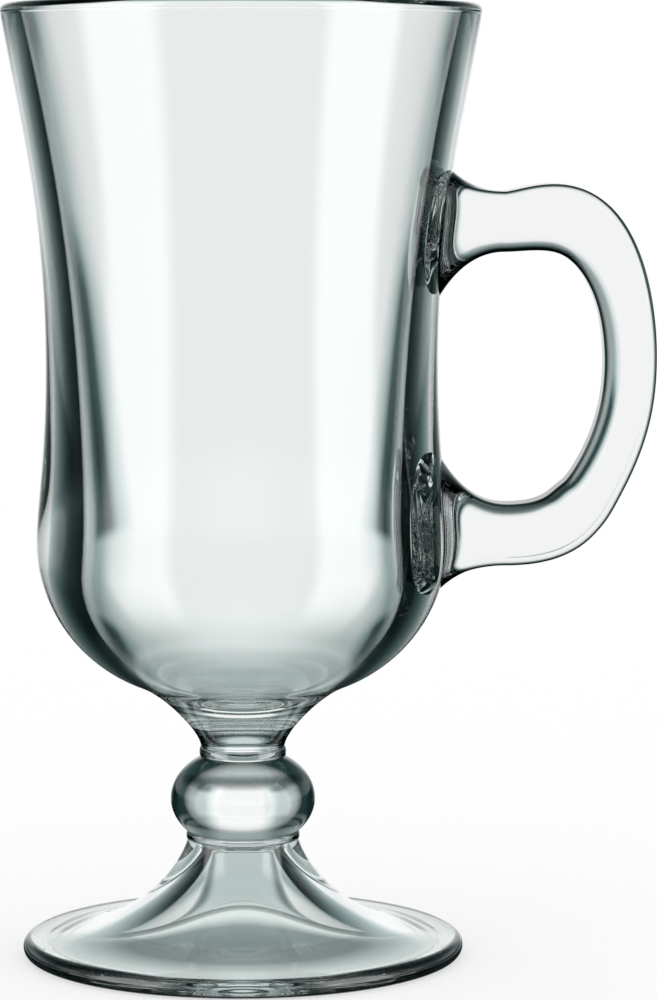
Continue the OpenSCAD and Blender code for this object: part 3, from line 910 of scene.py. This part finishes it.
class Studio:
    """The world's brightness by direction, worked out in its node tree."""

    def __init__(self, nodes):
        self.nodes = nodes
        calc = nodes.calc
        way = nodes.add("ShaderNodeTexCoord", {}).outputs["Generated"]
        x, y, z = nodes.add("ShaderNodeSeparateXYZ", {0: way}).outputs
        level_squared = calc("ADD", calc("MULTIPLY", x, x), calc("ADD", calc("MULTIPLY", y, y), NEVER_ZERO))
        level = calc("SQRT", level_squared)
        self.height = calc("ARCTAN2", z, level)
        off_middle = calc("ADD", self.height, math.radians(-WALL_MIDDLE))
        self.tilt = calc("MULTIPLY", off_middle, UPRIGHT_SHARE)
        largest = calc("MAXIMUM", calc("ABSOLUTE", x), calc("ABSOLUTE", y))
        self.sideways = calc("ARCCOSINE", calc("MINIMUM", calc("DIVIDE", largest, level), 1.0))
        self.from_back = calc("ARCCOSINE", calc("MINIMUM", calc("DIVIDE", y, level), 1.0))
        self.bearing = calc("ARCTAN2", x, calc("MULTIPLY", y, -1.0))

    def dome(self, stops, angle):
        """A brightness that follows stops of degrees and brightness."""
        share = self.nodes.calc("MULTIPLY", angle, 1 / math.radians(DOME_SPAN))
        return self.nodes.ramp(share, [(degrees / DOME_SPAN, bright) for degrees, bright in stops])

    def rise(self, angle, degrees):
        """A smooth step up between two angles."""
        return self.nodes.rise(angle, *map(math.radians, degrees))

    def fall(self, angle, degrees):
        """A smooth step down between two angles."""
        return self.nodes.fall(angle, *map(math.radians, degrees))

    def gentle_walls(self):
        """Walls that fade a little between eight bearings, and more so lower down."""
        up_down = self.dome(UP_DOWN, self.nodes.calc("ABSOLUTE", self.tilt))
        level, low = self.dome(LEVEL_WALLS, self.sideways), self.dome(LOW_WALLS, self.sideways)
        walls = self.nodes.mix(level, low, self.fall(self.height, LOW_TO_LEVEL))
        return self.nodes.calc("MULTIPLY", up_down, walls)

    def back_wall(self):
        """Only the wall behind the mug."""
        calc = self.nodes.calc
        squares = [calc("MULTIPLY", angle, angle) for angle in (self.from_back, self.tilt)]
        return self.dome(BACK_WALL, calc("SQRT", calc("ADD", *squares)))

    def with_ceiling(self, walls, light):
        """Walls that give way overhead to a ceiling of one brightness."""
        return self.nodes.mix(walls, light, self.rise(self.height, CEILING))

    def softboxes(self):
        """The light of both softboxes."""
        calc = self.nodes.calc
        boxes = []
        for start, end, blur, brightness in SOFTBOXES:
            left = self.rise(self.bearing, (start - blur, start + blur))
            right = self.fall(self.bearing, (end - blur, end + blur))
            boxes.append(calc("MULTIPLY", calc("MULTIPLY", left, right), brightness))
        upright = calc("MULTIPLY", self.rise(self.height, BOX_BOTTOM), self.fall(self.height, BOX_TOP))
        return calc("MULTIPLY", calc("ADD", *boxes), upright)


def build_studio():
    """What each kind of ray sees.

    The camera and the light that falls on the table see plain white. Straight through the glass
    the walls are gentle, and mirrored inside the glass only the wall behind the mug is bright.
    The outside mirrors gentle walls above its own level, only the back wall below it, and the
    softboxes.
    """
    world = bpy.data.worlds.new("white_studio")
    bpy.context.scene.world = world
    world.cycles.sampling_method = "NONE"
    nodes = Nodes(world)
    calc = nodes.calc
    studio = Studio(nodes)
    gentle, back = studio.gentle_walls(), studio.back_wall()
    ray = nodes.add("ShaderNodeLightPath", {}).outputs
    outside = calc("LESS_THAN", ray["Transmission Depth"], FIRST_BOUNCE)
    mirrored_within = calc("GREATER_THAN", ray["Glossy Depth"], FIRST_BOUNCE)
    through = nodes.mix(
        studio.with_ceiling(gentle, CEILING_LIGHT), studio.with_ceiling(back, MIRRORED_CEILING_LIGHT),
        mirrored_within)
    low_back = calc("MULTIPLY", back, studio.rise(studio.height, BACK_WALL_FOOT))
    walls = nodes.mix(low_back, gentle, studio.rise(studio.height, MIRRORED_RAISED))
    mirrored = calc("ADD", studio.with_ceiling(walls, CEILING_LIGHT), studio.softboxes())
    seen = nodes.mix(through, mirrored, outside)
    plain = calc("MINIMUM", calc("ADD", ray["Is Camera Ray"], ray["Diffuse Depth"]), 1.0)
    brightness = nodes.mix(seen, 1.0, plain)
    background = nodes.add(
        "ShaderNodeBackground", {"Color": nodes.ramp(brightness, TONES), "Strength": brightness})
    nodes.add("ShaderNodeOutputWorld", {"Surface": background.outputs[0]})


build_studio()


# The camera and the view

EYE = (0.0135, -0.6264, 0.1349)     # metres
LOOK_DOWN = 5.74                    # degrees
LENS = 144.7                        # millimetres

scene = bpy.context.scene
lens = bpy.data.cameras.new("camera")
lens.sensor_width = 36.0
lens.lens = LENS
lens.clip_start = 0.01
lens.clip_end = 50.0
eye = bpy.data.objects.new("camera", lens)
eye.location = EYE
eye.rotation_euler = (math.radians(90 - LOOK_DOWN), 0, 0)
scene.collection.objects.link(eye)
scene.camera = eye
scene.render.resolution_x = 657
scene.render.resolution_y = 1000
scene.view_settings.view_transform = "Standard"
scene.cycles.max_bounces = 32
scene.cycles.transmission_bounces = 32
scene.cycles.glossy_bounces = 16
scene.cycles.transparent_max_bounces = 48
